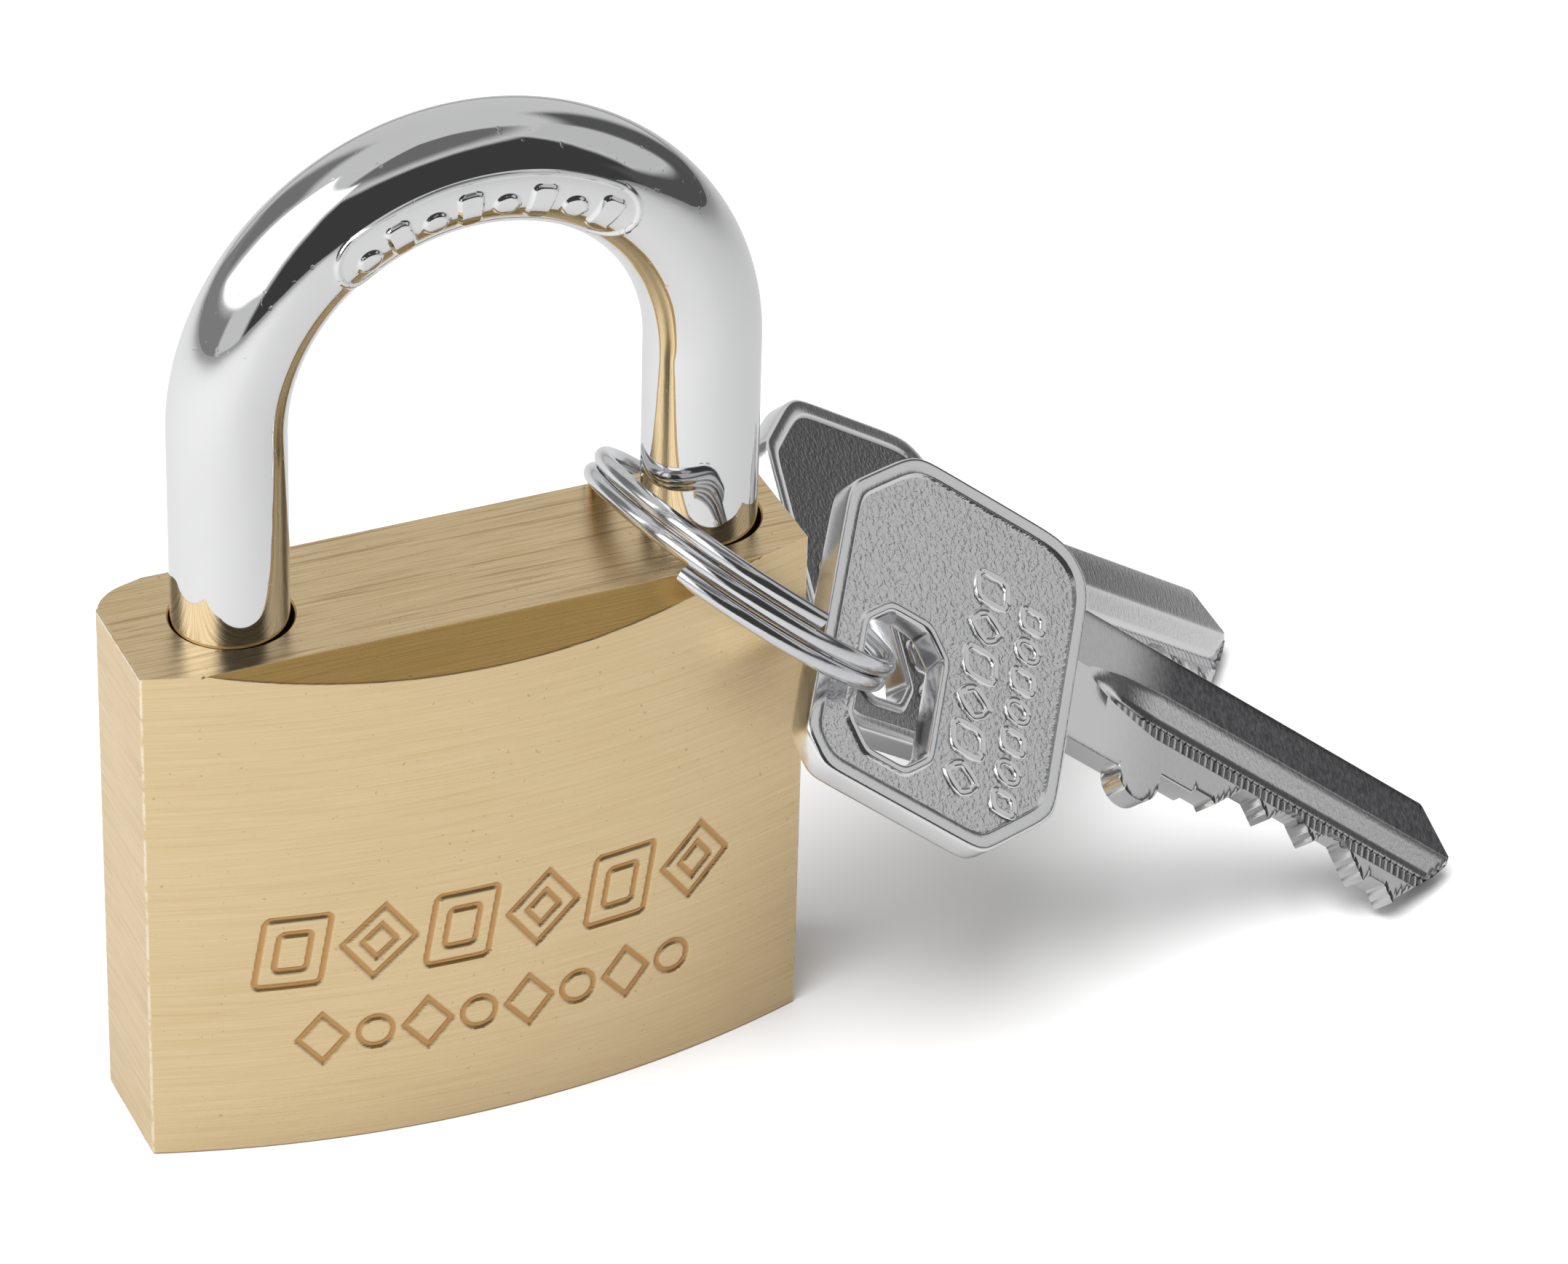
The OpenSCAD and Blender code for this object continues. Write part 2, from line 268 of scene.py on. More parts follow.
def newFinish(name):
    material = bpy.data.materials.new(name)
    shop = Shop(material)
    return material, shop, shop.node("ShaderNodeTexCoord", {}, {}, out="Object")


# brass: "line" and "band" are the brushed pattern's turns per millimetre along and across the strokes, and
# "strokes" and "stain" say how much they show on the faces, then how much more on the top and on the ends
brass = {"pale": (0.86, 0.68, 0.415, 1), "deep": (0.70, 0.52, 0.27, 1), "tarnish": (0.46, 0.30, 0.13, 1),
         # on the next line, the first colour is painted shade for the sloped facets, the second painted shade in
         # the stamped grooves, and the third, the palest, a painted highlight along the end edges
         "facet": (0.98, 0.62, 0.20, 1), "groove": (0.62, 0.36, 0.15, 1), "edgeGlint": (0.98, 0.88, 0.68, 1),
         "gloss": 0.30, "spread": 0.16, "grain": 0.00006, "line": (0.11, 7.0, 1.0), "band": (0.075, 2.4, 1.0),
         "cloud": (0.05, 0.05, 0.09), "speck": 2.4, "glintPatches": 0.9, "strokes": (2.8, 3.6, 2.4),
         "stain": (0.05, 0.72, 0.36)}


def satinBrass():
    # brushed lines run along X on the faces and the top, and along Y on the ends
    material, shop, point = newFinish("satinBrass")
    x, y, z = shop.split(point)
    normal = shop.node("ShaderNodeNewGeometry", {}, {}, out="Normal")
    nx, ny, nz = [shop.node("ShaderNodeMath", {"operation": "ABSOLUTE"}, {0: n}) for n in shop.split(normal)]
    end = shop.step(0.6, 0.8, nx)
    top = shop.step(0.45, 0.6, nz)
    along = x * (1 - end) + y * end
    across = z * (1 - top) + y * top
    layer = {"X": along * 1000, "Y": across * 1000, "Z": top * 40 + end * 17}   # each side has its own cut
    lie = shop.node("ShaderNodeCombineXYZ", {}, layer)
    fine = shop.noise(shop.scaled(lie, brass["line"]), 4.0, 0.65)
    broad = shop.noise(shop.scaled(lie, brass["band"]), 3.0, 0.6)
    cloud = shop.noise(shop.stretched(point, brass["cloud"]), 2.0, 0.5)
    specks = shop.step(0.735, 0.80, shop.noise(shop.stretched(point, brass["speck"]), 1.0, 0.4))
    slope = top * (1 - shop.step(0.86, 0.94, nz))
    groove = shop.mark("groove")
    streak = fine * 0.6 + broad * 0.4 - 0.5
    faceStroke, topStroke, endStroke = brass["strokes"]
    stroke = 0.68 + streak * (faceStroke + top * topStroke + end * endStroke)
    tint = shop.mix(stroke, brass["deep"], brass["pale"])
    faceStain, topStain, endStain = brass["stain"]
    stain = shop.step(0.48, 0.68, broad) * (faceStain + top * topStain + end * endStain)
    tint = shop.mix(stain, tint, brass["tarnish"])
    tint = shop.mix(shop.step(0.35, 0.8, cloud) * 0.10, tint, brass["deep"])
    # painted shade: the sloped facets, found by their slope alone, are painted a deeper, more orange gold than the
    # faces
    tint = shop.mix(slope * 0.85, tint, brass["facet"])
    tint = shop.mix(specks * 0.35, tint, brass["tarnish"])
    # painted shade: the stamped grooves are painted a darker, warmer brown
    tint = shop.mix(shop.step(0.1, 0.8, groove), tint, brass["groove"])
    # painted highlight: lighter, smoother brass is painted on the rings round each end's edge, broken into patches
    # by noise
    edgeGlint = shop.mark("edgeGlint")
    edgeGlint = edgeGlint * shop.step(0.36, 0.56, shop.noise(shop.stretched(point, brass["glintPatches"]), 3.0, 0.6))
    tint = shop.mix(edgeGlint * 0.75, tint, brass["edgeGlint"])
    gloss = brass["gloss"] + (fine - 0.5) * brass["spread"] + (cloud - 0.5) * 0.08
    gloss = gloss + slope * 0.18 - top * 0.06 + groove * 0.10 - edgeGlint * 0.10
    shop.metal(tint, gloss, shop.bump(fine * 0.7 + broad * 0.3 - specks * 0.5, 0.55, brass["grain"]))
    return material


def plainMetal(name, colour, roughness, per, grain=0.00003):
    # an even or directional grain, and a soft change to a colour an eighth darker
    material, shop, point = newFinish(name)
    fine = shop.noise(shop.stretched(point, per), 3.0, 0.6)
    cloud = shop.noise(shop.stretched(point, 0.12), 2.0, 0.5)
    dark = tuple(c * (1 - 0.12) for c in colour[:3]) + (1,)
    tint = shop.mix(shop.step(0.3, 0.75, fine * 0.5 + cloud * 0.5), dark, colour)
    shop.metal(tint, roughness + (fine - 0.5) * 0.10, shop.bump(fine, 0.35, grain))
    return material


chrome = {"colour": (0.80, 0.802, 0.808, 1), "dull": (0.74, 0.74, 0.75, 1), "gloss": 0.028,
          "haze": (0.10, 0.10, 0.06), "pit": 1.9, "wave": 0.35, "relief": 0.00008}


def polishedChrome():
    # mirror plating with a faint haze and a few pits
    material, shop, point = newFinish("polishedChrome")
    haze = shop.noise(shop.stretched(point, chrome["haze"]), 3.0, 0.55)
    pits = shop.step(0.70, 0.76, shop.noise(shop.stretched(point, chrome["pit"]), 1.0, 0.4))
    wave = shop.noise(shop.stretched(point, chrome["wave"]), 1.0, 0.4)
    tint = shop.mix(shop.step(0.45, 0.75, haze) * 0.5, chrome["colour"], chrome["dull"])
    gloss = chrome["gloss"] + haze * 0.02 + pits * 0.08
    shop.metal(tint, gloss, shop.bump(wave - pits * 0.15, 0.25, chrome["relief"]))
    return material


# the darkest colour here is painted shade, laid on where a key's shade mark is set
nickel = {"bright": (0.86, 0.86, 0.87, 1), "field": (0.80, 0.80, 0.81, 1), "dark": (0.09, 0.09, 0.095, 1),
          "gloss": 0.15, "skin": 2.6, "scratch": (6.0, 0.7, 3.0), "relief": 0.00016}


def nickelKey():
    # worn bright edges; the sunk field of the bow is darker and has a rough cast skin; where the shade mark is
    # set, painted shade takes the colour towards near black and smooths the cast skin away
    material, shop, point = newFinish("nickelKey")
    sunk = shop.mark("sunk")
    shade = shop.mark("shade")
    skin = shop.noise(shop.stretched(point, nickel["skin"]), 2.0, 0.55)
    fine = shop.noise(shop.stretched(point, nickel["scratch"]), 3.0, 0.6)
    tint = shop.mix(sunk * (0.75 + fine * 0.4), nickel["bright"], nickel["field"])
    tint = shop.mix(shade * (0.75 + fine * 0.4), tint, nickel["dark"])
    gloss = nickel["gloss"] + (fine - 0.5) * 0.12 + sunk * 0.06 + shade * 0.03
    shop.metal(tint, gloss, shop.bump(skin * sunk * (1 - shade) + fine * 0.10, 0.55, nickel["relief"]))
    return material


finishes = {
    "satin_brass": satinBrass(),
    "chrome_steel": polishedChrome(),
    "turned_brass": plainMetal("turnedBrass", (0.86, 0.66, 0.33, 1), 0.26, (0.6, 0.6, 6.0)),
    "pin_brass": plainMetal("pinBrass", (0.88, 0.68, 0.36, 1), 0.22, 2.0),
    "zinc_steel": plainMetal("zincSteel", (0.62, 0.63, 0.65, 1), 0.32, 1.5),
    "spring_steel": plainMetal("springSteel", (0.56, 0.56, 0.58, 1), 0.24, 3.0),
    "ring_steel": plainMetal("ringSteel", (0.78, 0.785, 0.80, 1), 0.13, 1.5, grain=0.00002),
    "nickel_key": nickelKey(),
}
print("finishes ready")


# what the body and the shackle share, in millimetres: the legs' places, the bolts, and the pin that keeps the
# heel leg in, which runs in a neck turned on that leg
fits = {"legX": 17.65, "boltZ": 34.2, "pinZ": 29.0, "pin": 1.1, "neck": 2.7, "lift": 14.0, "play": 0.3}


# the body: a brass block whose crowned faces meet flat ends, with a sloped facet along the top of each face

block = {"width": 50.0, "height": 41.0, "middle": 18.8, "ends": 10.7, "shift": 1.15, "facetY": 6.65,
         "facetSlope": 0.86, "edge": 0.16, "backCorner": 2.6, "rows": (6.0, 21.2, 0.13),
         "columns": (-20.8, 18.4, 0.13)}
holes = {"leg": 4.42, "legShift": (0.12, 0.10), "heelFloor": 5, "toeFloor": 28.4, "plug": 6.05,
         "plugTop": 37.6, "bolt": 3.05, "pinBack": 1.2, "plugPin": 0.9, "plugPinX": 5.96, "plugPinZ": 25.6,
         "chamber": 1.45, "chamberZ": 4.7, "pitch": 4.4, "legMouth": 0.12, "plugMouth": 0.15}
crown = (block["middle"] - block["ends"]) / 2
faceRadius = ((block["width"] / 2) ** 2 + crown ** 2) / (2 * crown)
blockLeft = -block["shift"] - block["width"] / 2
blockRight = blockLeft + block["width"]


def faceDepth(x):
    # half the thickness: a circular arc from the ends to the middle
    return block["middle"] / 2 - faceRadius + np.sqrt(faceRadius ** 2 - (x + block["shift"]) ** 2)


# the stamping: "frames" and "small" are each row's count, first place, pitch and height
stamp = {"depth": 0.17, "line": 0.27, "slant": 0.16, "frames": (6, -16.2, 6.15, 17.0),
         "small": (8, -14.2, 3.85, 9.1), "frameSizes": ((2.35, 2.9, 0.5), (1.15, 1.55, 0.4)),
         "lozengeSizes": (2.05, 0.95), "ring": 1.25, "lozenge": 1.3}


def boxDistance(x, z, halfX, halfZ, corner):
    # signed distance from a rounded box centred on the origin: |max(d, 0)| + min(max(dx, dz), 0) - corner
    dx, dz = np.abs(x) - halfX + corner, np.abs(z) - halfZ + corner
    return np.hypot(np.maximum(dx, 0), np.maximum(dz, 0)) + np.minimum(np.maximum(dx, dz), 0) - corner


def stampedRows(x, z):
    # depth of two rows of outlined shapes, leaning frames and lozenges above, small lozenges and rings below:
    # depth (1 - (distance from the nearest outline / line width)^2)^0.75
    line = np.full(np.broadcast(x, z).shape, 9.0)
    count, first, pitch, height = stamp["frames"]
    for k in range(count):
        dz = z - height
        lean = x - first - pitch * k - stamp["slant"] * dz
        if k % 2:
            for size in stamp["lozengeSizes"]:
                line = np.minimum(line, np.abs((np.abs(lean) * 1.12 + np.abs(dz)) * 0.68 - size))
        else:
            for size in stamp["frameSizes"]:
                line = np.minimum(line, np.abs(boxDistance(lean, dz, *size)))
    count, first, pitch, height = stamp["small"]
    for k in range(count):
        dx, dz = x - (first + pitch * k), z - height
        if k % 2:
            shape = np.hypot(dx, dz) - stamp["ring"]
        else:
            shape = (np.abs(dx) + np.abs(dz) * 0.85) * 0.74 - stamp["lozenge"]
        line = np.minimum(line, np.abs(shape))
    groove = np.clip(1 - (line / stamp["line"]) ** 2, 0, 1)
    return stamp["depth"] * groove ** 0.75


def softCorners(corners, sizes):
    # each corner of a closed polygon becomes a short curve, (1-t)^2 start + 2t(1-t) corner + t^2 stop, with a
    # point beside it on each side that keeps the flats flat
    before = np.roll(corners, 1, axis=-2) - corners
    after = np.roll(corners, -1, axis=-2) - corners
    lengthB = np.linalg.norm(before, axis=-1, keepdims=True) + 1e-9
    lengthA = np.linalg.norm(after, axis=-1, keepdims=True) + 1e-9
    wide = sizes[..., None]
    size = np.minimum(wide, 0.22 * np.minimum(lengthB, lengthA))
    start, stop = corners + before / lengthB * size, corners + after / lengthA * size
    t = np.linspace(0, 1, 4)[:, None]
    curve = ((1 - t) ** 2 * start[..., None, :] + 2 * t * (1 - t) * corners[..., None, :]
             + t ** 2 * stop[..., None, :])
    outer = (corners + before / lengthB * np.minimum(2 * wide, 0.44 * lengthB))[..., None, :]
    inner = (corners + after / lengthA * np.minimum(2 * wide, 0.44 * lengthA))[..., None, :]
    return np.concatenate([outer, curve, inner], -2)


def endRings(section, side):
    # the last sections: a quarter circle of the edge's size, (edge sin a, edge (1 - cos a)), and two rings
    # on the flat
    edge = block["edge"]
    turn = np.radians([30, 60, 90])
    half = np.abs(section[:, 1]).max()
    steps = [*zip(edge * np.sin(turn), edge * (1 - np.cos(turn))), (edge, edge * 2.2), (edge, edge * 5)]
    rings = []
    for along, draw in steps:
        moved = section.copy()
        moved[:, 0] += side * along
        moved[:, 1] *= 1 - draw / half
        moved[:, 2] = draw + section[:, 2] * (1 - 2 * draw / block["height"])
        rings.append(moved)
    return rings


def bodyShell():
    # section loops along X: bottom, front face with its stamped rows, front facet, top, back facet, back face
    low, high, step = block["columns"]
    edge, height, facetY, reach = block["edge"], block["height"], block["facetY"], block["backCorner"]
    x = np.concatenate([blockLeft + edge + 2.9 * np.linspace(0, 1, 24) ** 1.6,      # closest at the left end
                        np.linspace(blockLeft + 3.4, low - 0.2, 10), np.arange(low, high, step),
                        np.linspace(high + 0.1, blockRight - 0.6, 14), [blockRight - edge]])
    depth = faceDepth(x)
    inset = np.clip(reach - (x - blockLeft), 0, reach)
    back = depth - 0.8 * (reach - np.sqrt(reach ** 2 - inset ** 2))     # the left back corner is rounded
    zero = np.zeros_like(x)
    facetF = height - block["facetSlope"] * np.maximum(depth - facetY, 0)
    facetB = height - block["facetSlope"] * np.maximum(back - facetY, 0)
    corners = np.stack([np.stack([-depth, zero], -1), np.stack([-depth, facetF], -1),
                        np.stack([-np.minimum(depth, facetY), zero + height], -1),
                        np.stack([np.minimum(back, facetY), zero + height], -1),
                        np.stack([back, facetB], -1), np.stack([back, zero], -1)], 1)
    soft = softCorners(corners, np.full(corners.shape[:2], edge) * np.array([1.0, 0.7, 0.7, 0.7, 0.7, 1.0]))
    z = np.arange(*block["rows"])
    sunk = stampedRows(x[:, None], z[None, :])
    fine = np.stack([sunk - depth[:, None], np.broadcast_to(z, sunk.shape)], -1)
    loop = np.concatenate([soft[:, 0], fine, *[soft[:, k] for k in range(1, 6)]], 1)
    # the stamped depth as a share, kept as the groove mark, which paints the grooves darker brown as painted shade
    groove = np.zeros(loop.shape[:2])
    groove[:, soft.shape[2]:soft.shape[2] + len(z)] = np.clip(sunk / stamp["depth"], 0, 1)
    points = np.concatenate([np.broadcast_to(x[:, None, None], (*loop.shape[:2], 1)), loop], -1)
    left, right = endRings(points[0], -1), endRings(points[-1], 1)
    points = np.concatenate([np.array(left[::-1]), points, np.array(right)])
    groove = np.pad(groove, ((len(left), len(right)), (0, 0)))
    # painted highlight: a bright line is painted along each end's edge where this mark is set
    edgeGlint = np.zeros(groove.shape)       # 1 on the three rings round each end's edge
    edgeGlint[len(left) - 3:len(left)] = 1
    edgeGlint[-len(right):3 - len(right)] = 1
    return newMesh("bodyShell", points, gridFaces(*points.shape[:2], closeColumns=True, caps=True),
                   {"groove": groove, "edgeGlint": edgeGlint})


def lockBody():
    # the shell less its holes: the legs', the plug's, the bolts' cross bore, two pins' and five chambers
    above, beyond, legX = block["height"] + 1, blockRight + 1, fits["legX"]
    shiftX, shiftY = holes["legShift"]
    heel, toe = (shiftX - legX, shiftY, 0), (shiftX + legX, shiftY, 0)
    pin = (-(legX + fits["neck"] + holes["pinBack"]), 0, fits["pinZ"])
    cutters = [bore(holes["leg"], holes["heelFloor"], above, "z", heel, holes["legMouth"], steps=120),
               bore(holes["leg"], holes["toeFloor"], above, "z", toe, holes["legMouth"], steps=120),
               bore(holes["plug"], -1, holes["plugTop"], mouth=holes["plugMouth"], mouthAt="low", steps=120),
               bore(holes["bolt"], -legX, beyond, "x", (0, 0, fits["boltZ"])),
               bore(fits["pin"], -4.2, 12, "y", pin, steps=48),
               bore(holes["plugPin"], -3, 12, "y", (-holes["plugPinX"], 0, holes["plugPinZ"]), steps=48)]
    for k in range(5):
        place = (0, 0, holes["chamberZ"] + holes["pitch"] * k)
        cutters.append(bore(holes["chamber"], 0, beyond, "x", place, steps=48))
    finishPiece("lockBody", cutOut(bodyShell(), cutters), "lock", "lock_body", "satin_brass", crease=30)


lockBody()


# the shackle: a round bar bent through a half circle, with a raised panel of plain shapes on the bend; the
# panel's "from", "to", "middle" and "half" are degrees along the bend and round the bar

bow = {"bar": 4.2, "bendZ": 56.0, "heelZ": 12.2, "toeZ": 29.2, "chamfer": 0.8, "notch": 3.3,
       "notchDepth": 2.35, "sleeve": 2.8}
panel = {"from": 50.0, "to": 130.0, "middle": 109.0, "half": 33.0, "raise": 0.26, "shapes": 8, "innerBy": 2.4,
         "margin": 1.0, "fine": (72, 146)}


def raisedPanel(bend, around):
    # height above the bar: a thin line round a long panel with round ends, and blocks and studs inside it
    radius, length = bow["bar"], fits["legX"] - panel["innerBy"]
    alongMm = np.radians(bend - (panel["from"] + panel["to"]) / 2) * length
    acrossMm = np.radians(around - panel["middle"]) * radius
    halfLong = np.radians((panel["to"] - panel["from"]) / 2) * length
    halfWide = np.radians(panel["half"]) * radius
    border = np.abs(boxDistance(alongMm, acrossMm, halfLong, halfWide, halfWide * 0.98)) - 0.09
    rise = panel["raise"] * 0.6 * (1 - smoothStep(-0.02, 0.14, border))
    pitch = 2 * (halfLong - panel["margin"]) / panel["shapes"]
    for k in range(panel["shapes"]):
        centre = -halfLong + panel["margin"] + pitch * (k + 0.5)
        if k % 2:
            away = np.hypot(alongMm - centre, acrossMm) - pitch * 0.36
        else:
            away = boxDistance(alongMm - centre, acrossMm, pitch * 0.33, halfWide * 0.62, 0.5)
        rise = np.maximum(rise, panel["raise"] * (1 - smoothStep(-0.14, 0.10, away)))
    return rise


def shackleBar():
    # circles carried up one leg, round the bend and down the other: around is 0 outwards, 90 to the front and
    # 180 inwards, and both angles go in finer steps over the panel
    legs, bar, chamfer = fits["legX"], bow["bar"], bow["chamfer"]
    heelZ, toeZ, fineFrom, fineTo = bow["heelZ"], bow["toeZ"], *panel["fine"]
    bend = np.concatenate([np.linspace(180, panel["to"] + 3, 40),
                           np.linspace(panel["to"] + 2.7, panel["from"] - 2.7, 190),
                           np.linspace(panel["from"] - 3, 0, 44)])
    around = np.concatenate([np.linspace(0, fineFrom, 20, endpoint=False),
                             np.linspace(fineFrom, fineTo, 72, endpoint=False),
                             np.linspace(fineTo, 360, 54, endpoint=False)])
    t = np.radians(bend)
    centre = np.stack([legs * np.cos(t), 0 * t, bow["bendZ"] + legs * np.sin(t)], -1)
    outward = np.stack([np.cos(t), 0 * t, np.sin(t)], -1)
    radius = bar + raisedPanel(bend[:, None], around[None, :])
    heelPath = np.array([heelZ, heelZ, heelZ + 0.3, heelZ + chamfer, *np.linspace(14, 55.5, 24)])
    heelSize = np.array([0.0, bar - chamfer - 0.1, bar - 0.4, bar, *[bar] * 24])
    toePath = np.array([*np.linspace(55.5, 31, 18), toeZ + chamfer, toeZ + 0.3, toeZ, toeZ])
    toeSize = np.array([*[bar] * 19, bar - 0.4, bar - chamfer - 0.1, 0.0])

    def leg(z, size, side):
        line = np.stack([side * legs + 0 * z, 0 * z, z], -1)
        sizes = np.broadcast_to(size[:, None], (len(z), len(around)))
        return line, np.broadcast_to([side, 0.0, 0.0], line.shape), sizes

    heel, toe = leg(heelPath, heelSize, -1.0), leg(toePath, toeSize, 1.0)
    centre = np.concatenate([heel[0], centre, toe[0]])
    outward = np.concatenate([heel[1], outward, toe[1]])
    radius = np.concatenate([heel[2], radius, toe[2]])
    front = np.broadcast_to([0.0, -1.0, 0.0], centre.shape)
    points = tube(centre, outward, front, radius, np.radians(around))
    return newMesh("shackleBar", points, gridFaces(*points.shape[:2], closeColumns=True))


def shackle():
    # the bar less a round notch in each leg for the bolts, a flat along the heel leg for its pin, and a neck
    # below the flat that lets the leg turn
    legs, bar, neck, sleeve = fits["legX"], bow["bar"], fits["neck"], bow["sleeve"]
    low = fits["pinZ"] - fits["lift"] - fits["pin"] - fits["play"]
    high = fits["pinZ"] + fits["pin"] + fits["play"]
    square = [[neck, low], [bar + 1, low], [bar + 1, low + sleeve], [neck, low + sleeve], [neck, low]]
    around, faces = lathe(square, 72)
    inner, outer = legs - bar - 1, legs - bar + bow["notchDepth"]
    cutters = [bore(bow["notch"], inner, outer, "x", (0, 0, fits["boltZ"])),
               bore(bow["notch"], -outer, -inner, "x", (0, 0, fits["boltZ"])),
               squareCutter((-legs - neck - bar, -bar - 1, low), (-legs - neck, bar + 1, high)),
               (around + np.array([-legs, 0, 0]), faces)]
    finishPiece("shackleBow", cutOut(shackleBar(), cutters), "shackle", "shackle", "chrome_steel", crease=40)


shackle()


# the split ring: a round wire wound a little over two turns, its ends cut square with their edges drawn in

ring = {"radius": 12.6, "wire": 0.65, "rise": 1.36, "turns": 2.13, "start": -150.0, "steps": 620, "sides": 28,
        "endSizes": (0, 0.82, 0.9), "pose": ((20.75, -0.6, 36.1), (0, 41.4, 9.9))}


def splitRing():
    # circles carried along the helix (r cos a, r sin a, rise a / 2 pi)
    turns, start, radius = ring["turns"], math.radians(ring["start"]), ring["radius"]
    s = np.concatenate([[0, 0, 0], np.linspace(0, 1, ring["steps"]), [1, 1, 1]])
    a = start + 2 * np.pi * turns * s
    centre = np.stack([radius * np.cos(a), radius * np.sin(a), ring["rise"] * turns * (s - 0.5)], -1)
    slope = math.atan(ring["rise"] / (2 * math.pi * radius))
    out = np.stack([np.cos(a), np.sin(a), 0 * a], -1)
    up = np.stack([math.sin(slope) * np.sin(a), -math.sin(slope) * np.cos(a), 0 * a + math.cos(slope)], -1)
    size = np.full((len(s), 1), ring["wire"])
    for k, share in enumerate(ring["endSizes"]):
        size[[k, -1 - k]] *= share
    points = tube(centre, out, up, size, np.linspace(0, 2 * np.pi, ring["sides"], endpoint=False))
    mesh = newMesh("splitRing", posed(points, ring["pose"]), gridFaces(*points.shape[:2], closeColumns=True))
    finishPiece("splitRing", mesh, "ring", "split_ring", "ring_steel", crease=45)


splitRing()


# the springs behind the drivers: each fills its frame node's box

coil = {"wire": 0.15, "turns": 9, "perTurn": 36, "sides": 10}


def pinSpring(number):
    # circles carried along a helix about X: (length s, r cos a, r sin a), with a point at each end
    low, high = [np.array(corner) * 1000 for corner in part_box(f"pin_spring_{number}")]
    middle, extent, wire = (low + high) / 2, high - low, coil["wire"]
    s = np.concatenate([[0], np.linspace(0, 1, coil["turns"] * coil["perTurn"] + 1), [1]])
    a = 2 * np.pi * coil["turns"] * s
    out = np.stack([0 * a, np.cos(a), np.sin(a)], -1)
    centre = middle + (extent[2] / 2 - wire) * out + np.outer((extent[0] - 2 * wire) * (s - 0.5), [1, 0, 0])
    size = np.full((len(s), 1), wire)
    size[[0, -1]] = 0
    along = np.broadcast_to([1.0, 0, 0], centre.shape)
    points = tube(centre, out, along, size, np.linspace(0, 2 * np.pi, coil["sides"], endpoint=False))
    mesh = newMesh(f"pinSpring{number}", points, gridFaces(*points.shape[:2], closeColumns=True))
    piece = finishPiece(f"pinSpring{number}", mesh, "lock", f"pin_spring_{number}", "spring_steel", crease=60)
    joint = f"driver_pin_{number}_lift"
    travel = next(j["range_m"][1] for j in frame["joints"] if j["name"] == joint) * 1000
    float(1 - travel / extent[0])
    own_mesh(piece)


for number in range(1, 6):
    pinSpring(number)


# the keys: a stamped bow with a raised rim, a sunk field and raised shapes, and a milled blade with five
# cuts; a key is made flat, its hole at the origin, its blade along X and its front on top

key = {"thick": 2.2, "sunk": 0.25, "crisp": 34.0, "bow": ((-7.3, -9.0), (15.7, 18.9)),
       "bowCuts": (5.2, 2.6, 5.8, 2.2), "hole": (3.5, 5.7), "holeCut": 1.8, "stroke": 0.30, "lean": 0.6,
       "shapeSteps": 28,    # and two columns: count, place, first, pitch, half sizes, powers of even and odd
       "columns": ((6, 6.85, -4.1, 3.15, 1.42, 1.12, 1.3, 4.0), (7, 10.9, -4.3, 2.55, 1.00, 0.78, 4.0, 2.0)),
       # painted shade: each key's pair sets how dark the shade mark paints its blade, then its sunk field
       "paintedShadeLevels": ((1.0, 0.0), (0.35, 0.58)),     # how dark each key's blade and field are
       "poses": (((29.45, -9.6, 29.31), (33.4, 37.6, -10.8)), ((31.9, 1.2, 27.06), (39.4, 35.7, 18.8)))}
blade = {"start": 14.6, "stop": 24.7, "tip": 53.2, "back": 14.4, "low": 4.7,
         "cuts": (9.2, 7.0, 6.6, 6.5, 8.2), "pitch": 4.4, "first": 4.3, "cutFlat": 0.7, "shoulder": 3.6,
         "tabX": 22.7, "tabY": 3.8, "tabRadius": 2.0,
         "ramp": ((48.4, 52.0, 53.2), (5.4, 9.0, 10.6)), "nose": (49.7, 3.1), "groove": 9.9, "ribPitch": 0.62,
         "ribHeight": 0.16, "lip": 0.12}
# the blade's levels from its back down, and the depth of its two faces at some of them
levels = np.array([14.4, 14.34, 14.2, 13.0, 12.3, 12.2, 11.6, 11.2, 11.05, 10.6, 10.0, 9.4, 8.85, 8.75, 8.65,
                   8.5, 8.2, 7.9, 7.6, 7.45, 7.35, 7.25, 7.1, 6.6, 6.0, 5.5, 5.0, 4.9, 4.76, 4.7, 4.0, 3.4,
                   2.8, 2.2, 1.8])
frontCut = ([1.8, 7.25, 7.35, 7.45, 8.65, 8.75, 8.85, 11.05, 11.2, 14.2, 14.34, 14.4],
            [0.0, 0.0, -0.08, -0.78, -0.80, -0.72, -0.62, -0.06, 0.0, 0.0, -0.05, -0.14])
backCut = ([1.8, 10.6, 10.6, 12.2, 12.3, 14.2, 14.34, 14.4], [0.0, 0.0, 0.5, 0.5, 0.0, 0.0, 0.05, 0.14])


def sideDistances(low, high, cuts):
    # unit normals and distances of a plate's eight sides: left, top, right, bottom, then the cut corners
    (x0, y0), (x1, y1) = low, high
    topLeft, topRight, lowRight, lowLeft = cuts
    r = math.sqrt(0.5)
    normals = np.array([[-1, 0], [0, 1], [1, 0], [0, -1], [-r, r], [r, r], [r, -r], [-r, -r]])
    reach = np.array([-x0, y1, x1, -y0, r * (-x0 + y1 - topLeft), r * (x1 + y1 - topRight),
                      r * (x1 - y0 - lowRight), r * (-x0 - y0 - lowLeft)])
    return normals, reach


def plateOutline(sides, inset, turn):
    # distance from the centre to the plate's edge at each angle: the soft minimum over its sides, which
    # rounds the corners, 1 / (sum of (facing / distance)^crisp)^(1 / crisp)
    normals, reach = sides
    crisp = key["crisp"]
    facing = np.maximum(np.cos(turn)[:, None] * normals[:, 0] + np.sin(turn)[:, None] * normals[:, 1], 0)
    return 1 / ((facing / (reach - inset)) ** crisp).sum(1) ** (1 / crisp)


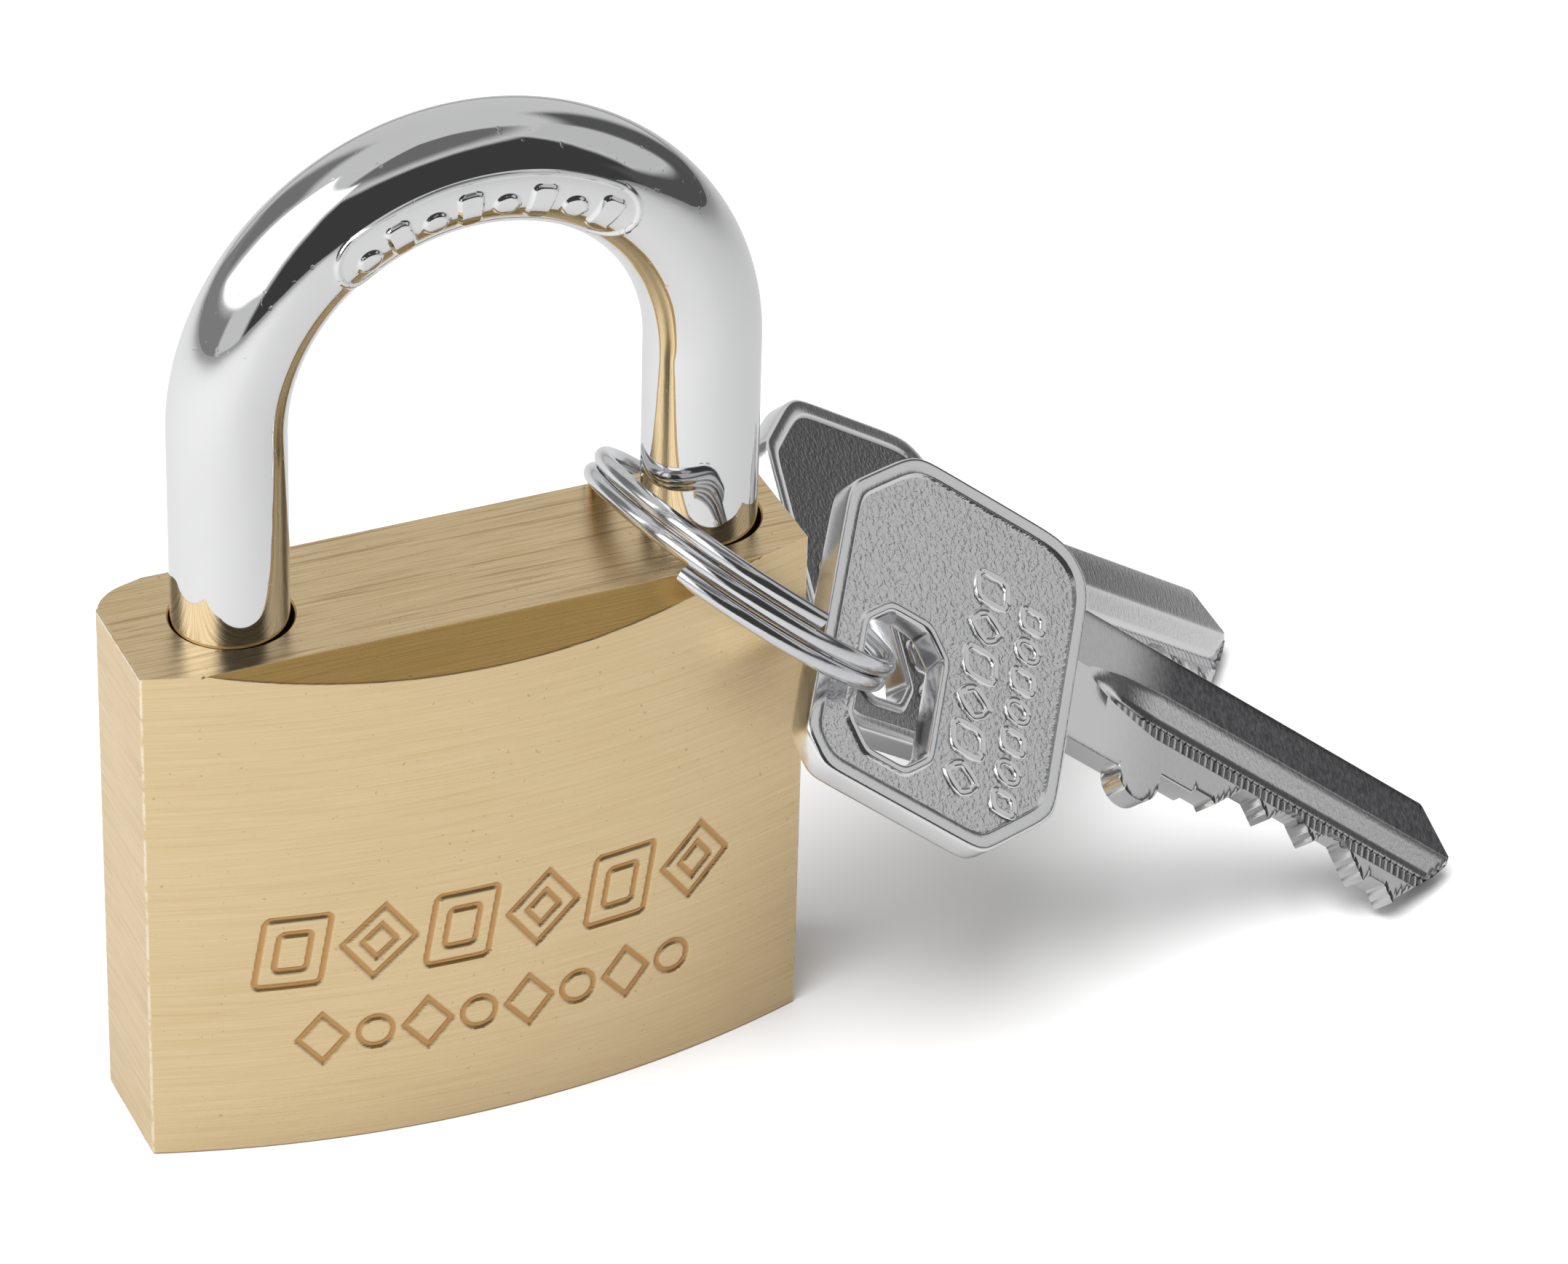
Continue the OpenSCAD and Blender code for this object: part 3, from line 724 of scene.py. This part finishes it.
def keyBow():
    # rings round the hole, (r cos a, r sin a, z): the hole's rim, the sunk field, the outer rim and the edge,
    # on the front and then on the back
    turn = np.linspace(0, 2 * np.pi, 560, endpoint=False)
    bowSides = sideDistances(*key["bow"], key["bowCuts"])
    hx, hy = key["hole"]
    holeSides = sideDistances((-hx, -hy), (hx, hy), (key["holeCut"],) * 4)
    sunk, thick = key["sunk"], key["thick"]
    holeSteps = [(0.0, -0.35), (0.03, -0.12), (0.12, -0.03), (0.24, 0.0), (0.56, 0.0), (0.66, -0.04),
                 (0.80, -sunk), (0.95, -sunk)]      # how far outside the hole, and how high
    rimSteps = [(1.60, -sunk), (1.40, -sunk), (1.22, -0.06), (1.10, 0.0), (0.30, 0.0), (0.12, -0.04),
                (0.03, -0.14), (0.0, -0.36)]        # how far inside the edge, and how high

    front = [(plateOutline(holeSides, -w, turn), z, float(z == -sunk)) for w, z in holeSteps]
    inner, outer = front[-1][0], plateOutline(bowSides, rimSteps[0][0], turn)
    front += [(inner + (outer - inner) * f, -sunk, 1.0) for f in np.linspace(0.12, 0.88, 8)]
    front += [(plateOutline(bowSides, w, turn), z, float(z == -sunk)) for w, z in rimSteps]
    loop = front + [(r, -thick - z, mark) for r, z, mark in front[::-1]]
    across, up = np.cos(turn), np.sin(turn)
    points = np.stack([np.stack([r * across, r * up, z + 0 * turn], -1) for r, z, mark in loop])
    marks = np.repeat([mark for r, z, mark in loop], len(turn))
    return points, gridFaces(len(loop), len(turn), closeRows=True, closeColumns=True), marks, 0 * marks


def keyBlade():
    # levels across the blade, held between its cut edge and its back at each place along it, on both faces
    stop, back, tip, thick = blade["stop"], blade["back"], blade["tip"], key["thick"]
    tabX, wide, sideways = blade["tabX"], blade["tabRadius"], levels[None, :]
    x = np.concatenate([np.arange(blade["start"], tip, 0.1), [20.69, 20.71, 24.69, 24.71, tip]])
    x = np.unique(np.round(x, 3))
    down = x[:, None]

    # the cut edge: five V cuts, a shoulder with its round stop tab, and the ramp up to the tip
    roots = np.array([back - h for h in blade["cuts"]])
    places = stop + blade["first"] + blade["pitch"] * np.arange(5)
    edge = np.maximum(blade["low"], (roots - np.maximum(np.abs(down - places) - blade["cutFlat"], 0)).max(1))
    edge = np.where(x < stop, blade["shoulder"], edge)
    tabEdge = blade["tabY"] - np.sqrt(np.maximum(wide ** 2 - (x - tabX) ** 2, 0))
    tab = np.where((x > 20.7) & (x < stop), tabEdge, blade["shoulder"])
    edge = np.where(x < stop, np.minimum(edge, tab), edge)
    rampX, rampY = blade["ramp"]
    edge = np.where(x > rampX[0], np.maximum(edge, np.interp(x, rampX, rampY)), edge)
    noseX, noseDrop = blade["nose"]
    top = np.interp(x, [blade["start"], noseX, tip], [back, back, back - noseDrop])

    # the milled groove narrows to nothing towards the bow
    milled, middle = (levels > 7.2) & (levels < 11.3), blade["groove"]
    spread = np.sqrt(np.clip((x - 16.6) / 7.0, 0.0004, 1))[:, None]
    wanted = np.where(milled[None, :], middle + (sideways - middle) * spread, sideways)
    y = np.clip(wanted, edge[:, None], top[:, None])
    runOut = smoothStep(16.8, 20.5, x)[:, None]
    frontZ, backZ = np.interp(levels, *frontCut)[None, :], np.interp(levels, *backCut)[None, :]
    ribs = ((levels > 7.4) & (levels < 8.7))[None, :]
    wave = (0.5 + 0.5 * np.cos(2 * np.pi * x / blade["ribPitch"]))[:, None] * ribs
    zFront = np.where(sideways > 14.15, frontZ, frontZ * runOut)
    zFront = zFront + blade["ribHeight"] * wave * smoothStep(22, 24, x)[:, None]
    zBack = -thick + np.where(sideways > 14.15, backZ, backZ * runOut)
    near = y - edge[:, None]
    lip = blade["lip"] * np.exp(-(near / 0.06))
    zFront, zBack = np.minimum(zFront, -lip * (near < 0.2)), np.maximum(zBack, -thick + lip * (near < 0.2))
    deep = 0.004 * (down < 16.0)        # the blade's root lies just inside the bow

    # painted shade: the land between the groove and the back darkens towards the tip, the milled groove is painted
    # dark with lighter rib crests, the land below it a quarter as dark, and on the back face the land at four
    # tenths
    land = ((levels > 11.15) & (levels < 14.3))[None, :] * (0.30 + 0.70 * smoothStep(18.5, 25, x))[:, None]
    groove = ((levels > 7.3) & (levels < 8.8))[None, :] * smoothStep(18, 21, x)[:, None]
    groove = groove * (0.95 - 0.75 * wave)
    lower = (levels < 7.3)[None, :] * 0.25 * smoothStep(18, 25, x)[:, None]
    shade = np.maximum(np.maximum(land, groove), lower)
    shade = np.concatenate([shade, 0.4 * land[:, ::-1]], 1).ravel()
    along = np.broadcast_to(down, y.shape)
    points = np.concatenate([np.stack([along, y, zFront - deep], -1),
                             np.stack([along, y, zBack + deep], -1)[:, ::-1]], 1)
    return points, gridFaces(*points.shape[:2], closeColumns=True, caps=True), 0 * shade, shade


def raisedFrame(centreX, centreY, halfX, halfY, power, side):
    # a low closed band on the sunk field, along the curve |x/halfX|^power + |y/halfY|^power = 1
    turn = np.linspace(0, 2 * np.pi, key["shapeSteps"], endpoint=False)
    reach = (np.abs(np.cos(turn) / halfX) ** power + np.abs(np.sin(turn) / halfY) ** power) ** (-1 / power)
    wide, foot = key["stroke"], -key["sunk"] - 0.1
    steps = [(wide + 0.08, foot), (wide, -0.07), (wide - 0.09, 0.0), (0.09 - wide, 0.0), (-wide, -0.07),
             (-wide - 0.08, foot)]
    points = []
    for w, z in steps:
        x = centreX + (reach + w) * np.cos(turn) - 0.25 * (reach + w) * np.sin(turn) * key["lean"]
        y = centreY + (reach + w) * np.sin(turn)
        points.append(np.stack([x, y, (z if side > 0 else -key["thick"] - z) + 0 * turn], -1))
    marks = np.zeros(len(steps) * len(turn))
    faces = gridFaces(len(steps), len(turn), closeRows=True, closeColumns=True)
    return np.stack(points), faces, marks, marks


def keyPiece(name, node, pose, paintedShadeLevels):
    # every part of the key in one mesh: the bow, the blade, and two columns of raised shapes on each face
    bladePaintedShade, fieldPaintedShade = paintedShadeLevels
    parts = [keyBow(), keyBlade()]
    for side in (1, -1):
        for column in key["columns"]:
            count, x, first, pitch, halfX, halfY, even, odd = column
            parts += [raisedFrame(x, first + pitch * k, halfX, halfY, odd if k % 2 else even, side)
                      for k in range(count)]
    starts = np.cumsum([0] + [points.size // 3 for points, *rest in parts])
    points = np.concatenate([points.reshape(-1, 3) for points, *rest in parts])
    faces = [faceSet + start for part, start in zip(parts, starts) for faceSet in part[1]]
    sunk, shade = [np.concatenate([part[k] for part in parts]) for k in (2, 3)]
    # painted shade: the shade mark is the blade's painted shade at the key's blade level, plus its sunk field at
    # the field level
    marks = {"sunk": sunk, "shade": shade * bladePaintedShade + sunk * fieldPaintedShade}
    mesh = newMesh(name, posed(points, pose), faces, marks)
    finishPiece(name, mesh, node, node, "nickel_key", crease=38)


for number, (pose, paintedShadeLevels) in enumerate(zip(key["poses"], key["paintedShadeLevels"]), 1):
    keyPiece(f"key{number}", f"key_{number}", pose, paintedShadeLevels)


# the other pieces inside keep their frame shapes and take the finish their record slot names
slotOf = {part["node"]: part["material_slot"] for part in frame["record"]["subparts"]}
for nodeName, nodeObject in nodes.items():
    if not nodeObject.hide_render:
        nodeObject.data.materials.clear()
        nodeObject.data.materials.append(finishes[slotOf[nodeName]])
print("inner pieces finished")


# studio: a pale floor, a wide window on the left, a softer panel on the right and a dark ceiling behind the
# camera; a patch is its brightness, its compass angles, its heights and its edge's softness, in degrees

studio = {"floor": (0.93, 0.93, 0.93, 1), "lit": (0.62, 0.62, 0.62, 1), "shade": (0.48, 0.48, 0.48, 1),
          "floorHalf": 4, "floorZ": -0.00004, "back": 0.64, "seen": 0.92, "patches": (
              (0.20, (-170, -128), (6, 46), 6.0),     # grey behind on the left
              (0.10, (96, 128), (-8, 46), 6.0),       # dark edge behind the panel
              (0.17, (-62, 88), (60, 120), 6.0),      # ceiling
              (0.052, (-42, 54), (-30, 52), 3.0),     # dark room behind the camera
              (0.58, (58, 96), (14, 53), 2.0),        # panel on the right
              (0.09, (44, 104), (-10, 12), 3.0),      # shade under the panel
              (0.24, (-158, -74), (-10, 13), 3.0),    # shade under the window
              (1.5, (-122, -46), (15, 62), 1.5))}     # window on the left
overhead = {"place": (-0.25, -0.15, 0.9), "aim": (0, 0, 0), "size": 0.9, "power": 12.0}
view = {"lens": 172.0, "sensor": 36.0, "near": 0.02, "far": 20.0, "place": (-0.16086, -0.40996, 0.33033),
        "right": (0.9174, -0.3968, 0.0246), "up": (0.2020, 0.5186, 0.8305),
        "behind": (-0.34268, -0.75729, 0.55595)}


def floorFinish():
    # pale paper; in reflections its right side falls into shade
    material = bpy.data.materials.new("paleFloor")
    shop = Shop(material)
    x = shop.split(shop.node("ShaderNodeTexCoord", {}, {}, out="Object"))[0]
    seen = shop.node("ShaderNodeLightPath", {}, {}, out="Is Camera Ray")
    shade = shop.mix(shop.step(-0.13, 0.11, x), studio["lit"], studio["shade"])
    paper = shop.mix(seen, shade, studio["floor"])
    shader = shop.node("ShaderNodeBsdfPrincipled", {}, {"Base Color": paper, "Roughness": 0.85})
    shop.output("ShaderNodeOutputMaterial", shader)
    return material


def studioFloor():
    half, z = studio["floorHalf"], studio["floorZ"]
    mesh = bpy.data.meshes.new("floor")
    corners = [(-half, -half, z), (half, -half, z), (half, half, z), (-half, half, z)]
    mesh.from_pydata(corners, [], [(0, 1, 2, 3)])
    mesh.materials.append(floorFinish())
    floor = addObject("floor", mesh)


def studioWorld():
    # brightness by compass angle (0 in front, 90 to the right) and height above the horizon: each patch draws
    # the light before it to its own level, by the product of its two masks
    world = bpy.data.worlds.new("studio")
    bpy.context.scene.world = world
    shop = Shop(world)
    x, y, z = shop.split(shop.node("ShaderNodeTexCoord", {}, {}, out="Generated"))
    turn = shop.node("ShaderNodeMath", {"operation": "ARCTAN2"}, {0: x, 1: 0 - y}) * math.degrees(1)
    rise = shop.node("ShaderNodeMath", {"operation": "ARCSINE"}, {0: z}) * math.degrees(1)

    def between(value, low, high, soft):
        return shop.step(low - soft, low + soft, value) * (1 - shop.step(high - soft, high + soft, value))

    light = studio["back"] + 0 * rise
    for level, turnRange, riseRange, soft in studio["patches"]:
        mask = between(turn, *turnRange, soft) * between(rise, *riseRange, soft)
        light = light + (level - light) * mask
    seen = shop.node("ShaderNodeLightPath", {}, {}, out="Is Camera Ray")
    strength = light * (1 - seen) + seen * studio["seen"]
    backdrop = shop.node("ShaderNodeBackground", {}, {"Color": (1, 1, 1, 1), "Strength": strength})
    shop.output("ShaderNodeOutputWorld", backdrop)


def overheadLight():
    # a round light that fills the shadows and isn't seen in reflections
    data = bpy.data.lights.new("overhead", "AREA")
    data.shape, data.size, data.energy = "DISK", overhead["size"], overhead["power"]
    lamp = addObject("overhead", data)
    lamp.location = overhead["place"]
    towards = Vector(overhead["aim"]) - Vector(overhead["place"])
    lamp.rotation_euler = towards.to_track_quat("-Z", "Y").to_euler()
    lamp.visible_glossy = lamp.visible_camera = False


studioFloor()
studioWorld()
overheadLight()

camera = bpy.data.cameras.new("camera")
camera.lens, camera.sensor_width = view["lens"], view["sensor"]
camera.clip_start, camera.clip_end = view["near"], view["far"]
viewer = addObject("camera", camera)
axes = Matrix([view["right"], view["up"], view["behind"]]).transposed().to_4x4()
viewer.matrix_world = Matrix.Translation(view["place"]) @ axes
bpy.context.scene.camera = viewer
bpy.context.scene.view_settings.view_transform = "Standard"
print("studio ready")
